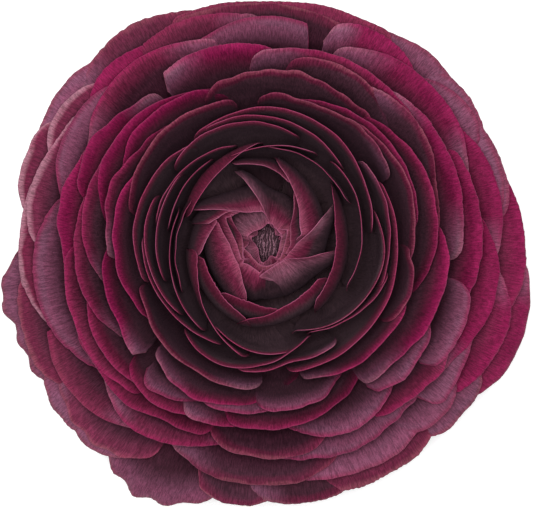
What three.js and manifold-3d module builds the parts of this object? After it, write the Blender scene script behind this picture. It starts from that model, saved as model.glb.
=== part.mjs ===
// A fully double ranunculus bloom (Persian buttercup), cut close under its head and set down face up.
// Millimetres, +Z up. The flower's axis is vertical; angles run anticlockwise from +X, seen from above.
import * as THREE from "three";
import { mergeVertices } from "three/addons/utils/BufferGeometryUtils.js";
import Module from "manifold-3d";

const wasm = await Module();
wasm.setup();

// Driving sizes.
const PETAL_THICKNESS = 0.62;
const SEPAL_THICKNESS = 0.9;
const CLEARANCE = 0.4; // air between two nodes that stand against each other
const RECEPTACLE_RADIUS = 4.6;
const COLLAR_INNER = RECEPTACLE_RADIUS + CLEARANCE;
const ROOT_RADIUS = 6.0; // the meridian curves start here, inside the ring of claws
const ROUND_SIDES = 24;
const WELD = 1e-4; // points nearer than this are one point
const SMALLEST_DETAIL = 0.12; // edges finer than this, left where blades cross, are merged away
const STEP_DEG = 15; // a petal's facets are about this wide
const FEWEST_COLUMNS = 3;
const MOST_COLUMNS = 6;
const TUCK_DEG = 1; // a petal runs this far past the stretch of its rim that shows, under its neighbour
const PETAL_WIDTHS = [0.5, 0.8, 1, 1]; // shares of a petal's full width, at these shares of its length:
const PETAL_WIDTHS_AT = [0, 0.35, 0.7, 1];
const CORNER_DROP = 0.07; // how much shorter a petal is at its two corners than along its middle

// One family of nested meridian curves, from the closed heart to the drooping guard petals. For a petal
// whose rim lies at this distance from the axis: the rim's height, the slope of the petal there (90 is
// upright, more hooks inwards, less spreads), the length of the curve's handle at the rim, and how far out
// and up the belly goes.
const FAMILY = {
  rim: [2, 4, 7, 10, 13, 16, 19, 22, 26, 30, 34, 38, 42, 46, 50, 54, 58],
  height: [44, 47.5, 50.5, 52, 52.8, 54.2, 56, 57.2, 57.3, 55.8, 53, 49, 44, 38, 31.5, 24.5, 17],
  slope: [175, 168, 155, 140, 122, 105, 95, 88, 78, 66, 53, 39, 24, 6, -14, -33, -50],
  handle: [7.2, 8.8, 9, 9.2, 10, 11, 11, 10, 9, 8, 8, 8, 8.5, 9.5, 10.5, 11.5, 12.5],
  bellyOut: [11, 12.5, 13.6, 15, 16.6, 17.9, 20, 22, 25, 27.5, 30, 31.5, 32.5, 33.5, 34, 33, 32],
  bellyUp: [2, 2, 2, 2, 2, 2, 2, 2.2, 2.5, 2.5, 2.5, 2.2, 2, 1.5, 1, 0.5, 0],
};

// Petals whose layer lies nearer than the first distance stand upright, and bend round with their rim.
// Those beyond the second spread: each lies in one layer of the family, and its outline is cut to its rim.
const SPREADING = [27, 34];
const LAYER_GAP = 0.1; // no two layers of a whorl lie closer than this

// The whorls, from the middle out. The petals' narrow claws are packed into one ring, from rootLow to
// rootHigh at the receptacle and out to clawOut. rows are the stations along a blade, from claw to rim. Each
// petal is a row of its own: the angles where its rim begins and ends, then the rim's distance from the axis
// at five even steps between them.
const WHORLS = {
  heart_petals: {
    rootLow: 24.2,
    rootHigh: 27.5,
    clawOut: 8,
    rows: [0, 0.5, 1],
    petals: [
      [155, 258, 3.0, 2.1, 1.9, 2.4, 4.0],
      [325, 395, 2.7, 2.5, 2.4, 2.6, 3.6],
      [83, 163, 4.3, 3.3, 3.3, 3.7, 4.1],
      [30, 110, 3.5, 3.2, 3.6, 5.9, 13.6],
      [330, 420, 3.4, 4.0, 4.2, 4.8, 8.0],
      [255, 353, 5.8, 4.4, 4.4, 5.6, 11.6],
      [217, 257, 6.1, 5.5, 5.4, 5.5, 5.9],
      [150, 213, 10.4, 6.6, 5.6, 5.4, 6.0],
      [300, 373, 4.0, 4.3, 4.4, 5.2, 6.9],
      [95, 147, 6.4, 6.8, 7.9, 9.6, 12.4],
      [155, 250, 11.0, 7.8, 6.7, 7.3, 9.7],
      [13, 83, 6.8, 7.8, 10.2, 12.8, 15.4],
      [70, 100, 12.7, 13.3, 14.0, 14.6, 15.0],
      [138, 163, 10.2, 10.4, 10.8, 11.6, 12.5],
    ],
  },
  inner_petals: {
    rootLow: 19.4,
    rootHigh: 22.2,
    clawOut: 13,
    rows: [0, 0.5, 1],
    petals: [
      [226, 281, 12.6, 12.0, 11.8, 12.2, 12.7],
      [253, 328, 15.2, 13.7, 12.4, 12.0, 11.9],
      [191, 256, 12.5, 12.6, 13.0, 13.9, 15.1],
      [308, 401, 14.7, 13.7, 13.3, 14.0, 16.4],
      [186, 258, 13.4, 14.8, 17.0, 19.6, 22.6],
      [95, 160, 19.6, 17.8, 16.6, 16.0, 15.8],
      [63, 112, 20.0, 19.6, 19.1, 18.7, 18.4],
      [28, 88, 17.6, 17.8, 18.3, 18.6, 18.7],
      [150, 207, 16.9, 17.2, 17.6, 18.2, 18.7],
      [332, 410, 17.5, 18.1, 18.8, 19.8, 20.4],
      [160, 232, 18.2, 18.8, 19.5, 20.3, 21.0],
      [239, 280, 19.0, 20.1, 21.0, 21.5, 21.5],
      [142, 198, 21.6, 21.7, 21.7, 21.6, 21.4],
      [109, 168, 20.2, 21.2, 21.8, 22.2, 22.2],
      [288, 376, 17.6, 20.2, 22.0, 23.0, 22.0],
      [340, 400, 23.7, 23.9, 24.3, 24.7, 24.9],
      [158, 218, 23.8, 24.0, 23.6, 22.8, 21.9],
      [178, 244, 24.4, 24.0, 23.2, 22.5, 21.7],
      [75, 139, 22.0, 23.6, 24.4, 24.8, 23.8],
      [46, 118, 21.0, 22.8, 24.4, 25.4, 25.6],
      [228, 294, 23.8, 25.3, 24.4, 22.4, 19.6],
      [258, 304, 25.4, 24.8, 23.5, 23.9, 23.8],
      [128, 196, 24.4, 25.8, 26.1, 26.1, 25.2],
      [8, 123, 20.6, 23.0, 25.7, 26.7, 25.6],
      [281, 388, 25.6, 25.9, 26.0, 25.5, 25.4],
    ],
  },
  middle_petals: {
    rootLow: 15.4,
    rootHigh: 17.9,
    clawOut: 17,
    rows: [0, 0.52, 1],
    petals: [
      [203, 263, 26.6, 27.6, 28.3, 28.5, 28.4],
      [289, 333, 27.8, 28.9, 29.2, 29.8, 30.0],
      [33, 89, 28.2, 28.8, 29.0, 28.6, 29.4],
      [107, 163, 29.2, 29.7, 29.9, 29.3, 28.0],
      [355, 412, 28.2, 29.2, 30.0, 29.9, 29.4],
      [151, 211, 29.2, 30.1, 29.9, 29.0, 27.6],
      [10, 75, 29.8, 30.8, 31.0, 30.4, 29.1],
      [132, 181, 30.0, 31.5, 32.3, 32.2, 31.4],
      [176, 220.5, 30.6, 32.2, 32.9, 33.1, 34.0],
      [228, 281, 31.6, 33.2, 32.6, 30.8, 28.2],
      [345, 410, 31.2, 33.2, 34.0, 33.6, 32.0],
      [50, 110, 31.6, 33.0, 34.0, 33.9, 32.2],
      [108, 151, 31.6, 33.2, 34.0, 33.8, 32.4],
      [109, 170, 32.2, 34.5, 36.2, 36.0, 32.8],
      [152, 193, 36.0, 36.7, 36.7, 35.4, 33.0],
      [308, 363.5, 34.0, 34.4, 35.6, 35.9, 34.8],
      [260, 309, 36.4, 36.3, 35.6, 33.6, 30.8],
      [246, 280, 37.4, 37.0, 36.0, 34.6, 33.0],
      [39, 80, 32.8, 35.6, 37.4, 38.0, 37.2],
      [6, 57, 34.1, 35.2, 37.4, 38.1, 37.0],
      [165, 213.5, 36.8, 37.9, 37.8, 36.6, 33.6],
      [196, 235, 36.8, 38.4, 38.8, 37.8, 35.4],
      [224, 266, 37.6, 38.3, 37.4, 35.6, 33.6],
      [309, 336, 36.8, 37.8, 37.5, 36.8, 35.2],
      [40, 92, 38.0, 39.0, 39.6, 39.1, 38.0],
      [276, 312, 36.4, 39.2, 40.5, 39.8, 37.2],
      [74, 122, 35.2, 37.8, 40.0, 40.4, 39.4],
      [358, 410.5, 38.4, 39.3, 40.1, 40.1, 39.2],
    ],
  },
  outer_petals: {
    rootLow: 10.6,
    rootHigh: 13.3,
    clawOut: 20,
    rows: [0, 0.4, 0.75, 1],
    petals: [
      [129, 163, 37.4, 38.6, 40.0, 40.2, 39.2],
      [183, 227, 39.8, 40.8, 41.4, 41.2, 40.0],
      [153, 191, 40.4, 41.6, 41.8, 40.6, 39.2],
      [206, 251, 41.2, 42.1, 41.9, 40.8, 39.2],
      [256, 285, 40.6, 41.9, 42.7, 42.3, 41.0],
      [304, 331, 41.2, 41.8, 42.2, 43.0, 41.2],
      [330, 385, 38.8, 41.0, 42.6, 42.7, 42.0],
      [274, 315, 42.6, 44.0, 44.4, 43.6, 42.0],
      [106, 152, 42.6, 44.2, 45.0, 43.6, 40.6],
      [79, 116.5, 44.6, 45.4, 44.9, 42.8, 41.2],
      [19, 68, 42.4, 45.0, 45.5, 44.8, 42.4],
      [221, 265, 42.6, 45.6, 44.4, 41.6, 38.0],
      [135, 167.5, 44.6, 46.0, 45.9, 44.8, 42.0],
      [321, 366.8, 42.4, 44.6, 46.8, 46.5, 43.2],
      [167.5, 215.5, 42.6, 46.2, 47.2, 46.0, 42.4],
      [357, 392, 46.0, 47.4, 47.6, 46.8, 44.8],
      [50, 80, 45.6, 47.2, 47.8, 47.8, 47.2],
      [60, 112, 44.2, 46.6, 48.0, 48.4, 48.6],
      [245, 288, 44.4, 47.6, 48.3, 48.2, 45.0],
      [146, 178, 46.2, 47.0, 48.3, 48.8, 47.6],
      [26, 47, 47.6, 49.0, 48.8, 47.6, 45.6],
      [9, 40, 48.0, 49.4, 49.2, 48.8, 45.6],
      [201, 234.5, 47.2, 49.1, 49.3, 48.2, 45.4],
      [279, 309, 48.0, 48.9, 49.4, 49.7, 48.2],
      [168, 200, 48.6, 49.4, 50.0, 49.2, 46.8],
      [322, 353, 48.6, 50.6, 51.5, 50.7, 47.2],
      [186, 213, 49.4, 51.4, 52.5, 52.8, 51.2],
      [211, 240, 49.4, 52.0, 53.4, 52.8, 50.0],
      [345, 377, 50.0, 51.8, 51.8, 51.2, 49.6],
      [26, 45, 48.8, 49.8, 50.2, 50.0, 49.2],
      [36, 62, 49.6, 50.0, 50.4, 49.8, 48.8],
      [60, 92, 49.2, 49.0, 49.2, 48.8, 48.6],
      [78, 112, 48.4, 48.6, 48.8, 49.2, 49.2],
      [104, 141, 48.4, 50.6, 52.0, 51.4, 48.8],
      [133, 163, 50.8, 52.1, 51.9, 51.1, 49.0],
      [152, 172, 51.2, 51.8, 51.9, 51.4, 49.6],
      [183, 213, 51.2, 53.8, 53.6, 53.3, 52.4],
      [211, 229, 52.0, 53.6, 54.0, 53.6, 52.4],
      [233, 258, 52.8, 55.6, 56.8, 55.4, 52.2],
      [256, 271, 51.6, 52.4, 52.4, 52.2, 51.2],
      [268, 293, 50.8, 52.4, 52.2, 51.7, 50.0],
      [286, 311, 51.2, 52.0, 52.0, 51.6, 50.0],
      [310, 327, 50.2, 51.4, 51.7, 52.0, 51.2],
      [324.5, 355, 51.8, 54.0, 54.6, 54.0, 52.0],
    ],
  },
};
const CLAW_SUNK = 1.2; // a petal starts this far inside its claws' edge
const CLAW_STATIONS = [0, 0.5, 1]; // where the claws' section is drawn, from root to edge
const CLAW_MARGIN = 0.05; // how far the claws reach past the highest and lowest petal
const SEARCH_STEP = 0.01; // of a meridian's length
const NORMAL_STEP = 0.01; // of a sheet's length, and of a strand's half width
const NORMAL_STEP_DEG = 0.5;

// The stem's profile, out and up, from the cut end to the top of the receptacle.
const STEM_TOP = 29;
const STEM_PROFILE = [
  [0, 0],
  [4.2, 0],
  [3.9, 3],
  [RECEPTACLE_RADIUS, 6],
  [RECEPTACLE_RADIUS, 27],
  [3, STEM_TOP],
  [0, STEM_TOP],
];

// The calyx: a collar, and sepals whose widths are given at their rows, as shares of the full width.
const CALYX_COLLAR = { low: 7.4, high: 10.0, outer: 7.0 };
const SEPAL_COUNT = 5;
const SEPAL_HALF_WIDTH_DEG = 27;
const SEPAL_FIRST_DEG = 18;
const SEPAL_PATH = [[5.8, 8.8], [12, 11.2], [20, 9.4], [24.5, 0.1]]; // out and up, from collar to tip
const SEPAL_ROWS = [0, 0.3, 0.6, 0.85, 1];
const SEPAL_WIDTHS = [0.5, 0.95, 1, 0.6, 0.16];
const SEPAL_COLUMNS = [-1, -0.5, 0, 0.5, 1];

// The heart core: a pad, in out and up from its foot, and strands that stand on it.
const CORE_FOOT = STEM_TOP + CLEARANCE;
const CORE_PAD = [[0, 0], [2.6, 0], [2.2, 2], [0, 2]];
const STRANDS = {
  count: 7,
  foot: 0.8, // above the pad's foot, inside the pad
  out: 1.1,
  bows: [0.65, 2.1], // how far they bulge from the axis
  heights: [9.4, 12.5],
  halfWidths: [0.95, 0.5], // at the foot and at the tip
  facingDeg: 75, // of their width, from the way they lie from the axis
  turnDeg: [-7, 7],
  twistDeg: [-25, 25],
  columns: 2,
  rows: 3,
  seed: 11,
};

const COLOURS = {
  heart_petals: 0x93496a,
  inner_petals: 0x4c1a34,
  middle_petals: 0x7c1a45,
  outer_petals: 0x8a1f4e,
  heart_core: 0x2a1420,
  calyx: 0x7d8f4c,
  stem: 0x8ea35c,
};
const ROUGHNESS = 0.6;

const radians = THREE.MathUtils.degToRad;

// The same small random numbers on every run.
function seededRandom(seed) {
  let state = seed;
  return () => {
    state = (state * 16807) % 2147483647;
    return state / 2147483647;
  };
}

// The value of a FAMILY line, or of any line of values, at a place between its knots.
function between(knots, values, at) {
  if (at <= knots[0]) return values[0];
  for (let k = 1; k < knots.length; k++) {
    if (at <= knots[k]) {
      const share = (at - knots[k - 1]) / (knots[k] - knots[k - 1]);
      return THREE.MathUtils.lerp(values[k - 1], values[k], share);
    }
  }
  return values[values.length - 1];
}

// The meridian curve of a petal whose rim lies at the given distance from the axis, in (out, up).
function meridian(rim, rootUp) {
  const up = between(FAMILY.rim, FAMILY.height, rim);
  const slope = radians(between(FAMILY.rim, FAMILY.slope, rim));
  const handle = between(FAMILY.rim, FAMILY.handle, rim);
  const bellyOut = between(FAMILY.rim, FAMILY.bellyOut, rim);
  const bellyUp = rootUp + between(FAMILY.rim, FAMILY.bellyUp, rim);
  return new THREE.CubicBezierCurve(
    new THREE.Vector2(ROOT_RADIUS, rootUp),
    new THREE.Vector2(bellyOut, bellyUp),
    new THREE.Vector2(rim - handle * Math.cos(slope), up - handle * Math.sin(slope)),
    new THREE.Vector2(rim, up),
  );
}

// A closed blade: the surface place(i, j) on a grid, given a thickness along its normals, with both faces
// split into triangles alike.
function blade(columns, rows, place, thickness) {
  const positions = [];
  const corner = (i, j, side) => 2 * (j * (columns + 1) + i) + side;
  for (let j = 0; j <= rows; j++) {
    for (let i = 0; i <= columns; i++) {
      const { point, normal } = place(i, j);
      const half = normal.clone().multiplyScalar(thickness / 2);
      positions.push(...point.clone().add(half), ...point.clone().sub(half));
    }
  }
  const index = [];
  const quad = (a, b, c, d) => index.push(a, b, c, a, c, d);
  for (let j = 0; j < rows; j++) {
    for (let i = 0; i < columns; i++) {
      quad(corner(i, j, 0), corner(i + 1, j, 0), corner(i + 1, j + 1, 0), corner(i, j + 1, 0));
      index.push(corner(i, j, 1), corner(i + 1, j + 1, 1), corner(i + 1, j, 1));
      index.push(corner(i, j, 1), corner(i, j + 1, 1), corner(i + 1, j + 1, 1));
    }
  }
  for (let i = 0; i < columns; i++) {
    quad(corner(i, 0, 1), corner(i + 1, 0, 1), corner(i + 1, 0, 0), corner(i, 0, 0));
    quad(corner(i + 1, rows, 1), corner(i, rows, 1), corner(i, rows, 0), corner(i + 1, rows, 0));
  }
  for (let j = 0; j < rows; j++) {
    quad(corner(0, j + 1, 1), corner(0, j, 1), corner(0, j, 0), corner(0, j + 1, 0));
    quad(corner(columns, j, 1), corner(columns, j + 1, 1), corner(columns, j + 1, 0), corner(columns, j, 0));
  }
  const geometry = new THREE.BufferGeometry();
  geometry.setAttribute("position", new THREE.Float32BufferAttribute(positions, 3));
  geometry.setIndex(index);
  return geometry;
}

// A point at (angle, out, up) round the axis.
function around(angleDeg, out, up) {
  const angle = radians(angleDeg);
  return new THREE.Vector3(out * Math.cos(angle), out * Math.sin(angle), up);
}

// The normal of a sheet, from the way it runs across at a place along it.
function sheetNormal(sheet, across, along, step) {
  const inside = THREE.MathUtils.clamp(along, NORMAL_STEP, 1 - NORMAL_STEP);
  const runAcross = sheet(across + step, inside).sub(sheet(across - step, inside));
  const runAlong = sheet(across, inside + NORMAL_STEP).sub(sheet(across, inside - NORMAL_STEP));
  return runAcross.cross(runAlong).normalize();
}

// Even steps across a petal, from one side to the other.
function columnPlaces(widthDeg) {
  const columns = THREE.MathUtils.clamp(Math.round(widthDeg / STEP_DEG), FEWEST_COLUMNS, MOST_COLUMNS);
  return Array.from({ length: columns + 1 }, (_, i) => (2 * i) / columns - 1);
}

// The share of a meridian's length at which it first reaches a distance from the axis.
function alongAt(curve, out) {
  let low = 0;
  while (low < 1 && curve.getPoint(low + SEARCH_STEP).x < out) low += SEARCH_STEP;
  const from = curve.getPoint(low).x;
  const to = curve.getPoint(low + SEARCH_STEP).x;
  const along = low + (SEARCH_STEP * (out - from)) / (to - from);
  return THREE.MathUtils.clamp(along, 0, 1);
}

// The distance of a petal's rim from the axis at an angle.
function rimAt([from, to, ...rims], angleDeg) {
  const steps = rims.map((_, k) => THREE.MathUtils.lerp(from, to, k / (rims.length - 1)));
  return between(steps, rims, angleDeg);
}

// How far out the layer of each petal lies: at its rim's farthest point, and clear of the layers inside it.
function layersOf(petals) {
  const layers = petals.map(([, , ...rims]) => Math.max(...rims));
  const order = layers.map((_, k) => k).sort((a, b) => layers[a] - layers[b]);
  for (let k = 1; k < order.length; k++) {
    layers[order[k]] = Math.max(layers[order[k]], layers[order[k - 1]] + LAYER_GAP);
  }
  return layers;
}

// One petal of a whorl.
function petal(row, layer, rootUpOf, clawOut, rowPlaces) {
  const [from, to] = row;
  const centre = (from + to) / 2;
  const halfWidth = (to - from) / 2 + TUCK_DEG;
  const spread = between(SPREADING, [0, 1], layer);
  const curveAt = (angleDeg) => {
    const bend = THREE.MathUtils.lerp(rimAt(row, angleDeg), layer, spread);
    return meridian(bend, rootUpOf(bend));
  };
  const places = columnPlaces(2 * halfWidth);
  const place = (i, j) => {
    const side = places[i];
    const rimAngle = centre + side * halfWidth;
    const reach = spread > 0 ? alongAt(curveAt(rimAngle), rimAt(row, rimAngle)) : 1;
    const sheet = (angleDeg, share) => {
      const curve = curveAt(angleDeg);
      const start = alongAt(curve, clawOut - CLAW_SUNK);
      const at = curve.getPoint(THREE.MathUtils.lerp(start, reach, share));
      return around(angleDeg, at.x, at.y);
    };
    const drop = Math.abs(side) === 1 ? CORNER_DROP : 0;
    const along = rowPlaces[j] * (1 - drop);
    const angle = centre + side * halfWidth * between(PETAL_WIDTHS_AT, PETAL_WIDTHS, rowPlaces[j]);
    return {
      point: sheet(angle, along),
      normal: sheetNormal(sheet, angle, along, NORMAL_STEP_DEG),
    };
  };
  return blade(places.length - 1, rowPlaces.length - 1, place, PETAL_THICKNESS);
}

// A ring or a turned solid round the axis, from its profile in (out, up).
function turned(profile) {
  const points = profile.map(([out, up]) => new THREE.Vector2(out, up));
  return new THREE.LatheGeometry(points, ROUND_SIDES).rotateX(Math.PI / 2);
}

function ring(inner, outer, low, high) {
  return turned([[inner, low], [outer, low], [outer, high], [inner, high], [inner, low]]);
}

// A closed geometry as a solid that can be joined to others.
function solidOf(geometry) {
  const bare = geometry.clone();
  bare.deleteAttribute("normal");
  bare.deleteAttribute("uv");
  const merged = mergeVertices(bare, WELD);
  const mesh = new wasm.Mesh({
    numProp: 3,
    vertProperties: merged.attributes.position.array,
    triVerts: new Uint32Array(merged.index.array),
  });
  return new wasm.Manifold(mesh);
}

// The triangles of the largest connected shell: the small sealed pockets between crossing blades are filled.
function outerShell(triangles, vertexCount) {
  const parent = Array.from({ length: vertexCount }, (_, v) => v);
  const shellOf = (v) => {
    while (parent[v] !== v) {
      parent[v] = parent[parent[v]];
      v = parent[v];
    }
    return v;
  };
  for (let t = 0; t < triangles.length; t += 3) {
    parent[shellOf(triangles[t])] = shellOf(triangles[t + 1]);
    parent[shellOf(triangles[t + 1])] = shellOf(triangles[t + 2]);
  }
  const shells = new Map();
  for (let t = 0; t < triangles.length; t += 3) {
    const shell = shellOf(triangles[t]);
    if (!shells.has(shell)) shells.set(shell, []);
    shells.get(shell).push(triangles[t], triangles[t + 1], triangles[t + 2]);
  }
  return [...shells.values()].sort((a, b) => b.length - a.length)[0];
}

// Many overlapping geometries grown together into one.
function fused(geometries) {
  let whole = solidOf(geometries[0]);
  for (const geometry of geometries.slice(1)) whole = whole.add(solidOf(geometry));
  whole = whole.simplify(SMALLEST_DETAIL);
  const mesh = whole.getMesh();
  const geometry = new THREE.BufferGeometry();
  geometry.setAttribute("position", new THREE.BufferAttribute(mesh.vertProperties, 3));
  geometry.setIndex(outerShell(mesh.triVerts, mesh.vertProperties.length / 3));
  return geometry;
}

// A whorl: its petals, fused to the ring of claws that they grow from.
function whorl({ rootLow, rootHigh, clawOut, rows, petals }) {
  const rims = petals.flatMap((row) => row.slice(2));
  const least = Math.min(...rims);
  const most = Math.max(...rims);
  const rootUpOf = (rim) => THREE.MathUtils.mapLinear(rim, least, most, rootHigh, rootLow);
  const low = meridian(most, rootLow);
  const high = meridian(least, rootHigh);
  const under = CLAW_STATIONS.map((share) => {
    const out = THREE.MathUtils.lerp(ROOT_RADIUS, clawOut, share);
    return [out, low.getPoint(alongAt(low, out)).y - CLAW_MARGIN];
  });
  const over = CLAW_STATIONS.map((share) => {
    const out = THREE.MathUtils.lerp(ROOT_RADIUS, clawOut, share);
    return [out, high.getPoint(alongAt(high, out)).y + CLAW_MARGIN];
  });
  const claws = turned([
    [COLLAR_INNER, rootLow - CLAW_MARGIN],
    ...under,
    ...over.toReversed(),
    [COLLAR_INNER, rootHigh + CLAW_MARGIN],
    [COLLAR_INNER, rootLow - CLAW_MARGIN],
  ]);
  const layers = layersOf(petals);
  return fused([claws, ...petals.map((row, k) => petal(row, layers[k], rootUpOf, clawOut, rows))]);
}

// Five sepals bent down from a ring under the petals; the flower rests on their tips and the stub's end.
function calyx() {
  const path = new THREE.CubicBezierCurve(...SEPAL_PATH.map(([out, up]) => new THREE.Vector2(out, up)));
  const sheet = (angleDeg, along) => {
    const at = path.getPoint(along);
    return around(angleDeg, at.x, at.y);
  };
  const sepals = [];
  for (let n = 0; n < SEPAL_COUNT; n++) {
    const centre = SEPAL_FIRST_DEG + (360 / SEPAL_COUNT) * n;
    const place = (i, j) => {
      const angle = centre + SEPAL_COLUMNS[i] * SEPAL_WIDTHS[j] * SEPAL_HALF_WIDTH_DEG;
      return {
        point: sheet(angle, SEPAL_ROWS[j]),
        normal: sheetNormal(sheet, angle, SEPAL_ROWS[j], NORMAL_STEP_DEG),
      };
    };
    sepals.push(blade(SEPAL_COLUMNS.length - 1, SEPAL_ROWS.length - 1, place, SEPAL_THICKNESS));
  }
  const collar = ring(COLLAR_INNER, CALYX_COLLAR.outer, CALYX_COLLAR.low, CALYX_COLLAR.high);
  return fused([collar, ...sepals]);
}

// Crumpled strands, the stamens and last small petals, on a pad on top of the receptacle.
function heartCore() {
  const random = seededRandom(STRANDS.seed);
  const drawn = ([from, to]) => THREE.MathUtils.lerp(from, to, random());
  const strands = [];
  for (let n = 0; n < STRANDS.count; n++) {
    const turn = (360 / STRANDS.count) * n + drawn(STRANDS.turnDeg);
    const height = drawn(STRANDS.heights);
    const bow = drawn(STRANDS.bows);
    const twist = drawn(STRANDS.twistDeg);
    const sheet = (side, along) => {
      const angle = turn + twist * along;
      const out = STRANDS.out + bow * Math.sin(Math.PI * along);
      const spine = around(angle, out, CORE_FOOT + STRANDS.foot + height * along);
      const halfWidth = between([0, 1], STRANDS.halfWidths, along);
      return spine.add(around(angle + STRANDS.facingDeg, side * halfWidth, 0));
    };
    const place = (i, j) => {
      const side = (2 * i) / STRANDS.columns - 1;
      const along = j / STRANDS.rows;
      return { point: sheet(side, along), normal: sheetNormal(sheet, side, along, NORMAL_STEP) };
    };
    strands.push(blade(STRANDS.columns, STRANDS.rows, place, PETAL_THICKNESS));
  }
  const pad = turned(CORE_PAD.map(([out, up]) => [out, CORE_FOOT + up]));
  return fused([pad, ...strands]);
}

function named(name, geometry) {
  const material = new THREE.MeshStandardMaterial({
    color: COLOURS[name],
    roughness: ROUGHNESS,
    metalness: 0,
  });
  const mesh = new THREE.Mesh(geometry, material);
  mesh.name = name;
  return mesh;
}

const flower = new THREE.Group();
for (const [name, sizes] of Object.entries(WHORLS)) {
  flower.add(named(name, whorl(sizes)));
}
flower.add(named("heart_core", heartCore()));
flower.add(named("calyx", calyx()));
flower.add(named("stem", turned(STEM_PROFILE)));

// The middle of the flower's outline, on the surface that it rests on, is the origin.
const outline = new THREE.Box3().setFromObject(flower);
const middle = outline.getCenter(new THREE.Vector3());
flower.position.set(-middle.x, -middle.y, -outline.min.z);

export default flower;
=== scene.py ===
"""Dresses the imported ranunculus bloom: thin veined petals over each whorl, sepals, cut stem, studio.

Shapes are worked out in millimetres, as distances from the flower's axis and heights over the floor, and in
degrees round the axis.
"""

import math
from collections import namedtuple

import bpy
import numpy as np
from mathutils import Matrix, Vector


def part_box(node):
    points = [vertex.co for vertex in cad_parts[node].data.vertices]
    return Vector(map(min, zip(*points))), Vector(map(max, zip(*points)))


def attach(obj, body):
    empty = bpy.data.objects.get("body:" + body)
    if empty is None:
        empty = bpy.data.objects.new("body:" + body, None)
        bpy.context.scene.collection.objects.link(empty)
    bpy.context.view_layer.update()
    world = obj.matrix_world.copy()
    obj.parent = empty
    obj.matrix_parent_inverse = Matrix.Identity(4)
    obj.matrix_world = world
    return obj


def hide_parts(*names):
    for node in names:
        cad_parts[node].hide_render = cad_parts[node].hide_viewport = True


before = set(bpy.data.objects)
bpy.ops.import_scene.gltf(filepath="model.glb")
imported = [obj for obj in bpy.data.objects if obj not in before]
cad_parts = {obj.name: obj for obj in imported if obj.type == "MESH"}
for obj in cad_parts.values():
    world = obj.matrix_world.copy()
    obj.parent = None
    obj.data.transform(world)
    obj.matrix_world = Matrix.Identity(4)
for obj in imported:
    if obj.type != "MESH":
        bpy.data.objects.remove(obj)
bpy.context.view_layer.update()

MM = 0.001
SEED = 20

# The flower's axis runs through the middle of its stem.
stem_low, stem_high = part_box("stem")
AXIS = np.array([(stem_low[0] + stem_high[0]) / 2, (stem_low[1] + stem_high[1]) / 2, 0]) / MM
STEM_FOOT = stem_low[2] / MM

# One family of nested meridian curves, from the closed heart to the drooping guard petals. For a petal
# whose rim lies at "rim" from the axis: the rim's height, the slope there (90 upright, more hooks inwards,
# less spreads), the length of the curve's handle at the rim, and how far out and up the belly goes.
FAMILY = {
    "rim": [2, 4, 7, 10, 13, 16, 19, 22, 26, 30, 34, 38, 42, 46, 50, 54, 58],
    "height": [44, 47.5, 50.5, 52, 52.8, 54.2, 56, 57.2, 57.3, 55.8, 53, 49, 44, 38, 31.5, 24.5, 17],
    "slope": [175, 168, 155, 140, 122, 105, 95, 88, 78, 66, 53, 39, 24, 6, -14, -33, -50],
    "handle": [7.2, 8.8, 9, 9.2, 10, 11, 11, 10, 9, 8, 8, 8, 8.5, 9.5, 10.5, 11.5, 12.5],
    "belly_out": [11, 12.5, 13.6, 15, 16.6, 17.9, 20, 22, 25, 27.5, 30, 31.5, 32.5, 33.5, 34, 33, 32],
    "belly_up": [2, 2, 2, 2, 2, 2, 2, 2.2, 2.5, 2.5, 2.5, 2.2, 2, 1.5, 1, 0.5, 0],
}
ROOT_RADIUS = 6.0

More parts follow.
